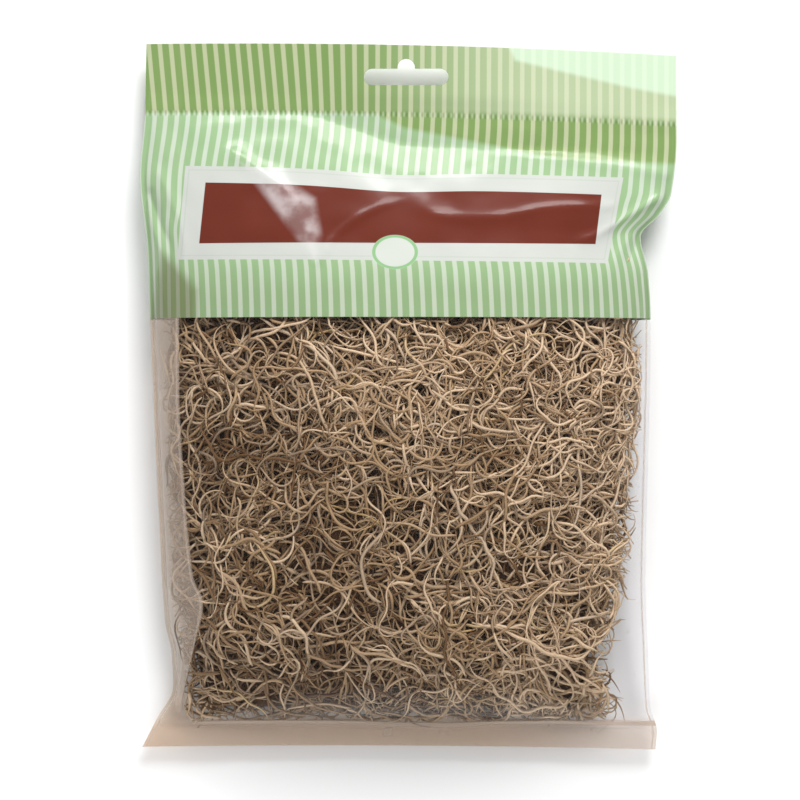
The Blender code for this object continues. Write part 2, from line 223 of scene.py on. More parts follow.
# Layers of strands: name, the web that they lie under (1 front, -1 back, 0 between), nearest
# and furthest depth below it (a share of the height between the webs for 0), how many sprigs
# and single strands, distance between a strand's points, and lowest and highest start
LAYERS = [
    ("moss_deep", 1, (5.0, 9.0), 190, 560, 1.9, (MOSS_LOW, 34)),
    ("moss_middle", 1, (2.2, 5.5), 165, 580, 1.8, (MOSS_LOW, 34)),
    ("moss_front", 1, (0.0, 2.6), 145, 530, 1.6, (MOSS_LOW, 33)),
    ("moss_head", 1, (0.5, 5.0), 30, 170, 2.2, (30, MOSS_HIGH)),
    ("moss_back", -1, (0.0, 4.0), 70, 400, 2.2, (MOSS_LOW, MOSS_HIGH)),
    ("moss_side", 0, (0.12, 0.75), 60, 260, 1.9, (MOSS_LOW, 60)),
]

RIM_DEPTH, QUICK_SHARE = 9, 0.3

# Studio: lights as name, place, target, size, power and whether film mirrors them, in metres
LIGHTS = [
    ("key", (0.4, 1.25, 1.05), (0, 0.02, 0.02), (0.8, 0.6), 26, False),
    ("fill", (-0.5, -1.3, 0.9), (0, 0, 0.02), (1.2, 0.8), 11, False),
    ("sheen", (0.1, 1.5, 0.62), (0, 0.08, 0.02), (1.5, 0.35), 12, True),
]
DAYLIGHT = 0.42
FLOOR_REACH, FLOOR_DROP, FLOOR_TONE = 3.0, 0.0002, (0.93, 0.93, 0.93)
CAMERA_PLACE, CAMERA_LENS, CAMERA_SENSOR = (-0.00325, -0.0013, 1.146), 135, 36
CAMERA_CLIP = (0.05, 20)


# Shape of the bag

def smooth_line(points):
    """x as a smooth function of y through the points, which never swings past one of them."""
    xs, ys = np.array(points, float).T
    runs = np.diff(xs) / np.diff(ys)
    slopes = np.r_[runs[0], np.zeros(len(xs) - 2), runs[-1]]
    same = runs[1:] * runs[:-1] > 0
    slopes[1:-1][same] = 2 * (runs[1:] * runs[:-1])[same] / (runs[1:] + runs[:-1])[same]

    def at(y):
        y = np.clip(y, ys[0], ys[-1])
        i = np.clip(np.searchsorted(ys, y) - 1, 0, len(ys) - 2)
        run = ys[i + 1] - ys[i]
        s = (y - ys[i]) / run
        ends = xs[i] * (1 + 2 * s) * (1 - s) ** 2 + xs[i + 1] * (3 - 2 * s) * s ** 2
        return ends + run * s * (1 - s) * (slopes[i] * (1 - s) - slopes[i + 1] * s)

    return at


left_side, right_side = smooth_line(LEFT_SIDE), smooth_line(RIGHT_SIDE)
moss_left, moss_right = smooth_line(MOSS_LEFT), smooth_line(MOSS_RIGHT)
fold_edge, fold_width = smooth_line(FOLD_EDGE), smooth_line(FOLD_WIDTH)


def edges_at(u):
    """Heights in plan of the hem and the header at u, from -1 at left to 1 at right."""
    hem = HEM_EDGE + HEM_SLANT * u + HEM_BOW * u * u
    return hem, HEADER_EDGE + HEADER_SLANT * u + HEADER_BOW * u * u


def plan_point(u, v):
    """Place in plan of (u, v), where v runs from 0 at the hem to 1 at the header."""
    hem, header = edges_at(u)
    y = hem + v * (header - hem)
    left, right = left_side(y), right_side(y)
    return left + (u + 1) / 2 * (right - left), y


def share_at(x, y):
    """The (u, v) of a place in plan."""
    left, right = left_side(y), right_side(y)
    u = 2 * (x - left) / (right - left) - 1
    hem, header = edges_at(u)
    return u, (y - hem) / (header - hem)


def ramp(value, low, high):
    """0 below low and 1 above high, with a smooth rise between."""
    t = np.clip((value - low) / (high - low), 0, 1)
    return t * t * (3 - 2 * t)


def rim_height(v):
    """Height of the weld between the webs."""
    t = np.clip((v - HEM_SHARE) / (SEAL_SHARE - HEM_SHARE), 0, 1)
    arch = SIDE_RISE - (HEM_RISE + HEADER_RISE) / 2
    return HEM_RISE + (HEADER_RISE - HEM_RISE) * t + arch * np.sin(math.pi * t)


def fullness(u, v, flat=0.0):
    """How far the pouch is filled at (u, v); flat is the empty share under the seal."""
    t = np.clip((v - HEM_SHARE) / (SEAL_SHARE - flat - HEM_SHARE), 0, 1)
    across = np.clip(np.abs(u) / (1 - WELD_SHARE), 0, 1)
    rise = np.sin(math.pi / 2 * np.clip(t / HEM_SLOPE, 0, 1)) ** HEM_ROUND
    fall = np.sin(math.pi / 2 * np.clip((1 - t) / SEAL_SLOPE, 0, 1)) ** SEAL_ROUND
    return rise * fall * (1 - across ** ACROSS_POWER) ** ACROSS_ROUND


def web_height(x, y, side):
    """Height of a web without its folds: side is 1 for the front and -1 for the back."""
    u, v = share_at(x, y)
    bulge = FRONT_BULGE if side > 0 else BACK_BULGE
    flat = FLAT_STRETCH * ramp(x, FLAT_FROM, FLAT_TO) if side > 0 else 0.0
    height = rim_height(v) + side * (bulge * fullness(u, v, flat) + WEB_OFFSET)
    return np.maximum(height, FILM_THICK)


def rolling(x, y, size, seed):
    """Smooth random rises and dips of about that size, from -1 to 1."""
    return np.array([noise.noise(Vector((a / size, b / size, seed))) for a, b in zip(x, y)])


def waves(x, y, kind):
    """Random relief of one kind, given as its height, size and seed."""
    height, size, seed = kind
    return height * rolling(x, y, size, seed)


def curve_points(points, count=40):
    """Points of a smooth curve through the given ones."""
    points = np.array(points, float)
    padded = np.vstack([2 * points[0] - points[1], points, 2 * points[-1] - points[-2]])
    ends = np.linspace(0, len(points) - 1, count)
    i = np.minimum(ends.astype(int), len(points) - 2)
    t = (ends - i)[:, None]
    a, b, c, d = (padded[i + k] for k in range(4))
    return 0.5 * (2 * b + (c - a) * t + (2 * a - 5 * b + 4 * c - d) * t ** 2
                  + (3 * b - a - 3 * c + d) * t ** 3)


def fold_height(x, y):
    """Rise that the folds of the front web give it, strongest where each one starts."""
    total = np.zeros_like(x)
    for points, height, width in FOLDS:
        line = curve_points(points)
        gaps = np.hypot(x[:, None] - line[:, 0], y[:, None] - line[:, 1])
        along = gaps.argmin(1) / (len(line) - 1)
        taper = (1 - along ** 2) ** FOLD_TAPER
        total += height * taper * np.exp(-(gaps.min(1) / width) ** FOLD_SHARPNESS)
    return total


def front_relief(x, y, u, v):
    """Folds and ripples of the front web over the pouch, which die out at its edges."""
    inner = ramp(1 - np.abs(u), 0, EDGE_FADE)
    low = ramp(v, HEM_SHARE, HEM_SHARE + EDGE_FADE)
    high = 1 - ramp(v, SEAL_SHARE - SEAL_FADE, SEAL_SHARE)
    slack = SLACK_LEAST + (1 - SLACK_LEAST) * ramp(y, *SLACK_HEIGHTS)
    ripples = waves(x, y * RIPPLE_STRETCH, RIPPLES) + waves(x + y, y - x, CROSS_RIPPLES)
    return inner * low * high * (fold_height(x, y) + slack * ripples)


def end_relief(x, y, v):
    """Waves of the header and the hem, where the two webs move together."""
    header = ramp(v, SEAL_SHARE, SEAL_SHARE + EDGE_FADE)
    hem = 1 - ramp(v, 0, HEM_SHARE)
    swell = HEADER_SWELL * np.sin(x / SWELL_LENGTH + SWELL_PHASE)
    return header * (swell + waves(x, y, HEADER_WAVES)) + hem * waves(x, y, HEM_WAVES)


# Meshes

def store(obj, name, values):
    """Keeps a number for each point of a piece, for its material to read."""
    layer = obj.data.attributes.new(name, "FLOAT", "POINT")
    layer.data.foreach_set("value", values.astype(np.float32))


def new_piece(name, vertices, faces, slot):
    """A smooth mesh piece that rides with the bag. Vertices come in millimetres."""
    mesh = bpy.data.meshes.new(name)
    mesh.vertices.add(len(vertices))
    mesh.vertices.foreach_set("co", (vertices * MM).astype(np.float32).ravel())
    mesh.loops.add(faces.size)
    mesh.loops.foreach_set("vertex_index", faces.astype(np.int32).ravel())
    mesh.polygons.add(len(faces))
    starts = np.arange(0, faces.size, faces.shape[1], dtype=np.int32)
    mesh.polygons.foreach_set("loop_start", starts)
    mesh.update(calc_edges=True)
    mesh.validate()
    mesh.shade_smooth()
    obj = bpy.data.objects.new(name, mesh)
    bpy.context.scene.collection.objects.link(obj)
    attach(obj, "root")
    return obj


def grid_faces(columns, rows):
    """Faces of a grid of points that was laid out row by row."""
    corner = (np.arange(rows - 1)[:, None] * columns + np.arange(columns - 1)).ravel()
    return np.stack([corner, corner + 1, corner + columns + 1, corner + columns], 1)


def shell(top, bottom, columns, rows):
    """Vertices and faces of a closed sheet between two grids of points."""
    faces = grid_faces(columns, rows)
    count = columns * rows
    index = np.arange(count).reshape(rows, columns)
    around = np.r_[index[0, :-1], index[:-1, -1], index[-1, :0:-1], index[:0:-1, 0]]
    after = np.roll(around, -1)
    wall = np.stack([around, around + count, after + count, after], 1)
    return np.vstack([top, bottom]), np.vstack([faces, faces[:, ::-1] + count, wall])


def web_grid(columns, rows, side):
    """Points of a web, row by row and closer together at its sides."""
    crowded = np.sin(np.linspace(-0.5, 0.5, columns) * math.pi * CROWDED_ARC)
    u = CROWDING * crowded / crowded[-1] + (1 - CROWDING) * np.linspace(-1, 1, columns)
    hem, header = np.linspace(0, HEM_SHARE, HEM_ROWS), np.linspace(SEAL_SHARE, 1, HEADER_ROWS)
    pouch = np.linspace(HEM_SHARE, SEAL_SHARE, rows - HEM_ROWS - HEADER_ROWS + 2)[1:-1]
    uu, vv = np.meshgrid(u, np.r_[hem, pouch, header])
    x, y = plan_point(uu.ravel(), vv.ravel())
    return x, y, web_height(x, y, side)


def normals_of(points, columns, rows):
    """Unit normals of a grid of points."""
    grid = points.reshape(rows, columns, 3)
    down, across = np.gradient(grid, axis=0), np.gradient(grid, axis=1)
    out = np.cross(across, down)
    return (out / np.linalg.norm(out, axis=2, keepdims=True)).reshape(-1, 3)


def stripe_table(side):
    """Distance along the film from its middle, for shares across it at many heights."""
    uu, vv = np.meshgrid(np.linspace(-1, 1, TABLE_COLUMNS), np.linspace(0, 1, TABLE_ROWS))
    x, y = plan_point(uu.ravel(), vv.ravel())
    z = web_height(x, y, side).reshape(uu.shape)
    x, y = x.reshape(uu.shape), y.reshape(uu.shape)
    steps = np.hypot(np.diff(x, axis=1), np.diff(z, axis=1))
    along = np.c_[np.zeros(TABLE_ROWS), np.cumsum(steps, axis=1)]
    stretched = along / along[:, -1:] * FLAT_WIDTH - FLAT_WIDTH / 2
    straight = along - along[:, TABLE_COLUMNS // 2, None]
    held = np.maximum(ramp(np.abs(uu), *HELD_SHARES), ramp(y, *HELD_HEIGHTS))
    lean = LEAN * np.maximum(y - LEAN_START, 0) * ramp(-x, *LEAN_PLACES)
    return straight + (stretched - straight) * held + lean


def film_map(obj, side):
    """Stores what the film's material reads at each point: film_map holds the distance along
    the film, x and y, and three more hold distances from the seal, the sides and the fold."""
    places = np.empty(len(obj.data.vertices) * 3, np.float32)
    obj.data.vertices.foreach_get("co", places)
    x, y = places.reshape(-1, 3)[:, 0] / MM, places.reshape(-1, 3)[:, 1] / MM
    u, v = share_at(x, y)
    table = stripe_table(side)
    a = np.clip((u + 1) / 2, 0, 1) * (TABLE_COLUMNS - 1)
    b = np.clip(v, 0, 1) * (TABLE_ROWS - 1)
    i, j = np.minimum(a.astype(int), TABLE_COLUMNS - 2), np.minimum(b.astype(int), TABLE_ROWS - 2)
    a, b = a - i, b - j
    low = table[j, i] * (1 - a) + table[j, i + 1] * a
    high = table[j + 1, i] * (1 - a) + table[j + 1, i + 1] * a
    data = np.stack([low * (1 - b) + high * b, x, y], 1).astype(np.float32)
    layer = obj.data.attributes.new("film_map", "FLOAT_VECTOR", "POINT")
    layer.data.foreach_set("vector", data.ravel())
    hem, header = edges_at(u)
    store(obj, "seal_gap", y - hem - SEAL_SHARE * (header - hem))
    store(obj, "edge_gap", np.minimum(x - left_side(y), right_side(y) - x))
    store(obj, "fold_share", (fold_edge(y) - x) / fold_width(y))


def slot_outline(steps=14):
    """Outline of the hanging slot."""
    cx, cy = SLOT_CENTRE
    round_end, notch = SLOT_HEIGHT / 2, NOTCH_WIDTH / 2
    reach = SLOT_LENGTH / 2 - round_end
    arc = [math.pi * i / steps for i in range(steps + 1)]
    right = [(reach + round_end * math.sin(a), -round_end * math.cos(a)) for a in arc]
    top = [(notch * math.cos(a), NOTCH_TOP - notch + notch * math.sin(a)) for a in arc]
    left = [(-reach - round_end * math.sin(a), round_end * math.cos(a)) for a in arc]
    outline = right + [(notch, round_end)] + top + [(-notch, round_end)] + left
    return [(cx + x, cy + y) for x, y in outline]


def punch_slot(obj):
    """Cuts the hanging slot through a web."""
    ring = slot_outline()
    low, high = ([(x * MM, y * MM, z * MM) for x, y in ring] for z in (0, PUNCH_HEIGHT))
    n = len(ring)
    walls = [(i, (i + 1) % n, n + (i + 1) % n, n + i) for i in range(n)]
    mesh = bpy.data.meshes.new("punch")
    mesh.from_pydata(low + high, [], [tuple(range(n))[::-1], tuple(range(n, 2 * n)), *walls])
    cutter = bpy.data.objects.new("punch", mesh)
    bpy.context.scene.collection.objects.link(cutter)
    cut = obj.modifiers.new("slot", "BOOLEAN")
    cut.operation, cut.object, cut.solver = "DIFFERENCE", cutter, "MANIFOLD"
    bpy.context.view_layer.update()
    graph = bpy.context.evaluated_depsgraph_get()
    made = bpy.data.meshes.new_from_object(obj.evaluated_get(graph))
    obj.modifiers.clear()
    made.materials.clear()
    obj.data = made
    made.shade_smooth()
    made.set_sharp_from_angle(angle=math.radians(SHARP_EDGE))
    bpy.data.objects.remove(cutter)


def film_web(name, side, grid, material, slot):
    """One web of the film bag."""
    x, y, z = web_grid(*grid, side)
    u, v = share_at(x, y)
    z = z + end_relief(x, y, v)
    if side > 0:
        z = z + front_relief(x, y, u, v)
    middle = np.stack([x, y, z], 1)
    out = normals_of(middle, *grid) * FILM_THICK / 2
    vertices, faces = shell(middle + out, middle - out, *grid)
    obj = new_piece(name, vertices, faces, slot)
    punch_slot(obj)
    film_map(obj, side)
    obj.data.materials.append(material)
    return obj


# Materials

def colour(red, green, blue):
    """Linear colour of a screen colour given from 0 to 255."""
    parts = [c / 255 for c in (red, green, blue)]
    return [c / 12.92 if c <= 0.04045 else ((c + 0.055) / 1.055) ** 2.4 for c in parts]


# Inks of the stripes: fresh, worn, darkened as painted shade where moss lies behind, and where
# the film lies double, which is also partly painted shade
GREEN = colour(140, 170, 124), colour(150, 180, 136), colour(126, 150, 108), colour(120, 148, 86)
PALE = colour(182, 194, 174), colour(190, 203, 184), colour(168, 178, 156), colour(176, 184, 146)
# Painted highlights of the header: by the seal, and in its corner
LIT_SEAL, LIT_FILM = colour(216, 226, 196), colour(216, 240, 216)

# Label
PANEL_WHITE, PANEL_GREEN = colour(190, 193, 187), colour(148, 172, 138)
BROWN, WORN_BROWN = colour(94, 33, 18), colour(106, 42, 26)
DISC_WHITE, RING_GREEN = colour(196, 200, 192), colour(134, 176, 126)

# Painted highlight of a crease, painted shade of the moss behind the print, painted shade and
# highlight on the crimps, and haze of the film
CREASE_HIGHLIGHT, SHADED = colour(226, 220, 220), colour(92, 92, 48)
DIMPLE_SHADE, DIMPLE_HIGHLIGHT = colour(70, 92, 52), colour(226, 234, 214)
MILK = colour(216, 198, 182)

# Strands, from the darkest tone to the lightest, and what varies them
DARK_STRAND, STRAND, LIGHT_STRAND = colour(108, 78, 50), colour(172, 142, 108), colour(220, 193, 162)
GREY_STRAND, YELLOW_STRAND = colour(172, 156, 140), colour(202, 172, 108)
STRAND_SPOT, STRAND_TIP = colour(112, 88, 62), colour(150, 122, 88)
# Painted shade of the bunch's depth, from its darkest to its lightest
DARK_CORE, LIGHT_CORE = colour(46, 28, 13), colour(106, 74, 44)
GREY_CYCLES, YELLOW_CYCLES = 7.31, 23.7

# Random marks, as so many to the metre
WELD_MARKS, WEAR_MARKS, FOLD_MARKS, CREASE_MARKS = 14, 45, 60, 80
STREAK_MARKS, FILM_MARKS, CORE_MARKS, STRAND_MARKS, FIBRE_MARKS = 110, 260, 420, 700, 1600


class Field:
    """A value worked out over a surface by shader nodes, which takes + - * / and more."""

    def __init__(self, tree, socket):
        self.tree, self.socket = tree, socket

    def math(self, operation, *others):
        node = self.tree.nodes.new("ShaderNodeMath")
        node.operation = operation
        for slot, value in zip(node.inputs, (self, *others)):
            plug(self.tree, value, slot)
        return Field(self.tree, node.outputs[0])

    def __add__(self, other):
        return self.math("ADD", other)

    def __sub__(self, other):
        return self.math("SUBTRACT", other)

    def __mul__(self, other):
        return self.math("MULTIPLY", other)

    def __truediv__(self, other):
        return self.math("DIVIDE", other)

    def least(self, other):
        return self.math("MINIMUM", other)

    def most(self, other):
        return self.math("MAXIMUM", other)

    def power(self, other):
        return self.math("POWER", other)

    def size(self):
        return self.math("ABSOLUTE")

    def fraction(self):
        return self.math("FRACT")

    def between(self, low, high, start=0.0, end=1.0):
        """start below low and end above high, with a smooth change between."""
        node = self.tree.nodes.new("ShaderNodeMapRange")
        node.interpolation_type = "SMOOTHSTEP"
        for slot, value in zip(node.inputs, (self, low, high, start, end)):
            plug(self.tree, value, slot)
        return Field(self.tree, node.outputs[0])


def plug(tree, value, slot):
    """Gives a socket a value, or the output of another node."""
    if isinstance(value, Field):
        tree.links.new(value.socket, slot)
    elif isinstance(value, list):
        slot.default_value = (*value, 1)
    else:
        slot.default_value = value


def blend(tree, share, first, second):
    """Colour between two, by a share."""
    node = tree.nodes.new("ShaderNodeMix")
    node.data_type = "RGBA"
    plug(tree, share, node.inputs[0])
    plug(tree, first, node.inputs[6])
    plug(tree, second, node.inputs[7])
    return Field(tree, node.outputs[2])


def noise_field(tree, vector, scale, detail=2.0, rough=0.5):
    """Noise over the surface, from 0 to 1."""
    node = tree.nodes.new("ShaderNodeTexNoise")
    tree.links.new(vector, node.inputs["Vector"])
    plug(tree, scale, node.inputs["Scale"])
    plug(tree, detail, node.inputs["Detail"])
    plug(tree, rough, node.inputs["Roughness"])
    return Field(tree, node.outputs[0])


def mix_shaders(tree, share, first, second):
    """Mix of two shaders, by a share."""
    node = tree.nodes.new("ShaderNodeMixShader")
    plug(tree, share, node.inputs[0])
    tree.links.new(first.outputs[0], node.inputs[1])
    tree.links.new(second.outputs[0], node.inputs[2])
    return node


def stored(tree, name, output="Fac"):
    """What the mesh keeps under a name."""
    node = tree.nodes.new("ShaderNodeAttribute")
    node.attribute_name = name
    return Field(tree, node.outputs[output])


def object_place(tree):
    """Place on the object, in metres."""
    return tree.nodes.new("ShaderNodeTexCoord").outputs["Object"]


def new_material(name):
    """An empty material, with its tree and its Principled shader."""
    material = bpy.data.materials.new(name)
    material.use_nodes = True
    return material, material.node_tree, material.node_tree.nodes["Principled BSDF"]


def inside_shape(x, y, corners):
    """Distance inside a shape with no hollow side, whose corners run clockwise."""
    deepest = None
    for (ax, ay), (bx, by) in zip(corners, corners[1:] + corners[:1]):
        length = math.hypot(bx - ax, by - ay)
        nx, ny = (by - ay) / length, -(bx - ax) / length
        gap = (x - ax) * nx + (y - ay) * ny
        deepest = gap if deepest is None else deepest.least(gap)
    return deepest


def surface_bump(tree, shader, height, strength, distance):
    """Fine relief from a field."""
    node = tree.nodes.new("ShaderNodeBump")
    plug(tree, height, node.inputs["Height"])
    node.inputs["Strength"].default_value = strength
    node.inputs["Distance"].default_value = distance
    tree.links.new(node.outputs[0], shader.inputs["Normal"])


def sag_of(x):
    """How far the upper edges of the label sag at x."""
    far = ((x - SAG_MIDDLE) / SAG_WIDTH).power(2) * -1
    return far.math("EXPONENT") * LABEL_SAG


def ink_colour(tree, tones, worn, moss_shade_share, double_and_shade):
    """Colour of one ink of the stripes."""
    fresh, faded, dark, deep = tones
    ink = blend(tree, worn, fresh, faded)
    ink = blend(tree, moss_shade_share, ink, dark)
    return blend(tree, double_and_shade, ink, deep)


def striped(tree, along, y, worn, double_and_shade):
    """Green stripes on pale ones."""
    off_middle = ((along / STRIPE_PITCH).fraction() - 0.5).size()
    pale_share = off_middle.between(GREEN_SHARE / 2 - STRIPE_BLUR, GREEN_SHARE / 2 + STRIPE_BLUR)
    # Painted shade of the moss behind the print, fading out upwards
    moss_shade_share = y.between(*MOSS_SHADE_HEIGHTS, 0.75, 0)
    green, pale = (ink_colour(tree, tones, worn, moss_shade_share, double_and_shade) for tones in (GREEN, PALE))
    return blend(tree, pale_share, green, pale)


def labelled(tree, x, y, ground, worn):
    """The bare label on the stripes: a panel with a thin line, a banner and a medallion."""
    panel = inside_shape(x, y, PANEL)
    line = (panel - PANEL_LINE).size().between(0.12, 0.3, 1, 0)
    white = blend(tree, line * 0.25, PANEL_WHITE, PANEL_GREEN)
    ground = blend(tree, panel.between(-0.1, 0.1), ground, white)
    banner = inside_shape(x, y, BANNER).between(-0.1, 0.1)
    ground = blend(tree, banner, ground, blend(tree, worn, BROWN, WORN_BROWN))
    (cx, cy), (rx, ry) = MEDALLION, MEDALLION_RADII
    far = (((x - cx) / rx).power(2) + ((y - cy) / ry).power(2)).math("SQRT")
    ring = (far - MEDALLION_RING).size().between(0.05, 0.1, 1, 0)
    disc = blend(tree, ring, DISC_WHITE, RING_GREEN)
    return blend(tree, far.between(0.99, 1.01, 1, 0), ground, disc)


def printed_colour(tree, along, x, y, gap, where, front):
    """Colour of the print: stripes and, on the front web, its painted highlights, label and streak with
    its painted highlight.
    """
    worn = noise_field(tree, where, WEAR_MARKS, 3)
    # Darker ink where the webs lie together in the header and under the seal at right, partly painted
    # shade
    double_and_shade = gap.between(-0.6, 0.6)
    if not front:
        return striped(tree, along, y, worn, double_and_shade)
    double_and_shade = double_and_shade.most(inside_shape(x, y, TOUCHING_SHADED).between(-0.5, 2.5) * 1.15)
    ground = striped(tree, along, y, worn, double_and_shade)
    # Painted highlight over the header at the right, and in its corner
    ground = blend(tree, x.between(*LIT_PLACES) * gap.between(-1, 3) * 0.5, ground, LIT_SEAL)
    lit = inside_shape(x, y, LIT_CORNER).between(-0.6, 1.6) * 0.6
    ground = blend(tree, lit, ground, LIT_FILM)
    y = y + sag_of(x) * y.between(*SAG_HEIGHTS)
    ground = labelled(tree, x, y, ground, worn)
    # Painted highlight along a crumpled streak, broken up by noise
    streak_highlight = inside_shape(x, y, STREAK).between(-0.5, 3.5)
    streak_highlight = streak_highlight * noise_field(tree, where, STREAK_MARKS, 3).between(0.3, 0.7, 0.12, 0.5)
    return blend(tree, streak_highlight, ground, CREASE_HIGHLIGHT)


def crimped(tree, along, gap, ground):
    """Painted shade and highlight on the dimples of the crimped seal, and their relief."""
    near = gap.size().between(0.3, 1.5, 1, 0)
    dimple = (along * (2 * math.pi / CRIMP_PITCH)).math("SINE") * near
    # Painted shade and painted highlight alternate along the crimps
    ground = blend(tree, dimple.most(0) * 0.36, ground, DIMPLE_SHADE)
    return blend(tree, (dimple * -1).most(0) * 0.25, ground, DIMPLE_HIGHLIGHT), dimple


def set_ink(tree, shader, along, x, y, where, front):
    """Gives a shader the looks of the print, which is ink under a thin glossy coat."""
    gap = stored(tree, "seal_gap")
    ground = printed_colour(tree, along, x, y, gap, where, front)
    ground, dimple = crimped(tree, along, gap, ground)
    # Painted shade of the moss behind the folded left side
    shade = inside_shape(x, y, MOSS_SHADE).between(-0.8, 4) * 0.55
    plug(tree, blend(tree, shade, ground, SHADED), shader.inputs["Base Color"])
    shader.inputs["Roughness"].default_value = 0.22
    shader.inputs["Specular IOR Level"].default_value = 0.35
    shader.inputs["Coat Weight"].default_value = 0.25
    shader.inputs["Coat Roughness"].default_value = 0.08
    grain = noise_field(tree, where, FILM_MARKS, 4) * 0.3
    surface_bump(tree, shader, grain + dimple, 0.2, 0.0003)


def clear_shader(tree, x, y, front):
    """Clear film, tinted at the bag's margins on its back web."""
    clear = tree.nodes.new("ShaderNodeBsdfTransparent")
    tint = CLEAR
    if not front:
        tint = blend(tree, x.between(*LEFT_MARGIN, 1, 0), tint, LEFT_TINT)
        tint = blend(tree, x.between(*RIGHT_MARGIN), tint, RIGHT_TINT)
        hem_tint = blend(tree, x.between(*RIGHT_HEM), HEM_TINT, RIGHT_HEM_TINT)
        tint = blend(tree, y.between(*HEM_HAZE, 1, 0), tint, hem_tint)
    plug(tree, tint, clear.inputs["Color"])
    return clear


def milky_share(tree, x, y, where):
    """How milky the clear film is: down the left fold, on the hem and welds, and in creases."""
    share = stored(tree, "fold_share")
    ragged = noise_field(tree, where, FOLD_MARKS, 4)
    fold = share.between(-0.05, 0.05) * (share + ragged * 0.5).between(1.05, 1.35, 1, 0)
    fold_line = share.size().between(0.02, 0.09, 1, 0)
    side = (fold * 0.08 + fold * ragged * 0.24 + fold_line * 0.2) * y.between(*FOLD_FOOT)
    bubble = inside_shape(x, y, HEM_BUBBLE).between(-0.3, 0.3)
    wander = (noise_field(tree, where, WELD_MARKS, 2) - 0.5) * WELD_WANDER
    hem_weld = (y + wander - HEM_WELD).size().between(0.35, 1.2, 1, 0)
    side_weld = (stored(tree, "edge_gap") - SIDE_WELD).size().between(0.12, 0.4, 1, 0)
    weld = (hem_weld * x.between(*HEM_WELD_START)).most(side_weld * 0.6)
    hem = y.between(*HEM_HAZE, 1, 0)
    creases = noise_field(tree, where, CREASE_MARKS, 6, 0.65).between(0.63, 0.74)
    creases = creases * hem.most(0.2) * 0.22
    return (side + creases + hem * 0.16 + weld * 0.42 + bubble * 0.35).least(0.5)


def film_material(name, print_end, front):
    """Clear glossy film, printed above print_end."""
    material, tree, ink = new_material(name)
    split = tree.nodes.new("ShaderNodeSeparateXYZ")
    plug(tree, stored(tree, "film_map", "Vector"), split.inputs[0])
    along, x, y = (Field(tree, split.outputs[i]) for i in range(3))
    where = object_place(tree)
    set_ink(tree, ink, along, x, y, where, front)
    milk = tree.nodes.new("ShaderNodeBsdfPrincipled")
    plug(tree, MILK, milk.inputs["Base Color"])
    milk.inputs["Roughness"].default_value = 0.3
    hazy = mix_shaders(tree, milky_share(tree, x, y, where), clear_shader(tree, x, y, front), milk)

    # The gloss grows where the film turns away
    turned = Field(tree, tree.nodes.new("ShaderNodeLayerWeight").outputs["Facing"])
    gloss = turned.power(GLOSS_POWER) * MOST_GLOSS + LEAST_GLOSS
    mirror = tree.nodes.new("ShaderNodeBsdfGlossy")
    mirror.inputs["Roughness"].default_value = 0.12
    see_through = mix_shaders(tree, gloss, hazy, mirror)
    printed = y.between(print_end - 0.12, print_end + 0.12)
    whole = mix_shaders(tree, printed * PRINT_COVER, see_through, ink)
    tree.links.new(whole.outputs[0], tree.nodes["Material Output"].inputs["Surface"])
    return material


def strand_material():
    """Dry curled strands, each with a tone of its own."""
    material, tree, shader = new_material("dried_moss_strands")
    tone, where = stored(tree, "tone"), object_place(tree)
    body = blend(tree, tone.between(0.0, 0.45), DARK_STRAND, STRAND)
    body = blend(tree, tone.between(0.45, 0.95), body, LIGHT_STRAND)
    grey = (tone * GREY_CYCLES).fraction().between(0.55, 1.0)
    body = blend(tree, grey * 0.4, body, GREY_STRAND)
    yellow = (tone * YELLOW_CYCLES).fraction().between(0.975, 0.985)
    body = blend(tree, yellow * 0.4, body, YELLOW_STRAND)
    mottle = noise_field(tree, where, STRAND_MARKS, 3) - 0.35
    body = blend(tree, mottle * 0.5, body, STRAND_SPOT)
    tip = stored(tree, "along").between(0.75, 1.0)
    plug(tree, blend(tree, tip * 0.3, body, STRAND_TIP), shader.inputs["Base Color"])
    shader.inputs["Roughness"].default_value = 0.62
    shader.inputs["Specular IOR Level"].default_value = 0.35
    surface_bump(tree, shader, noise_field(tree, where, FIBRE_MARKS, 3), 0.35, 0.0002)
    return material


def core_material():
    """Depth of the bunch, coloured dark as painted shade."""
    material, tree, shader = new_material("moss_depth")
    fibres = noise_field(tree, object_place(tree), CORE_MARKS, 6, 0.7)
    plug(tree, blend(tree, fibres, DARK_CORE, LIGHT_CORE), shader.inputs["Base Color"])
    shader.inputs["Roughness"].default_value = 0.9
    surface_bump(tree, shader, fibres, 1.0, 0.002)
    return material


# Moss

def noise_at(x, y, kind):
    """Smooth random value at a place, from -1 to 1, for marks of a width, a height and a seed."""
    wide, high, seed = kind
    return noise.noise(Vector((x / wide, y / high, seed)))


def room(x, y):
    """Lowest and highest a strand may lie at a place."""
    return web_height(x, y, -1) + FLOOR_ROOM, web_height(x, y, 1) - CEILING_ROOM


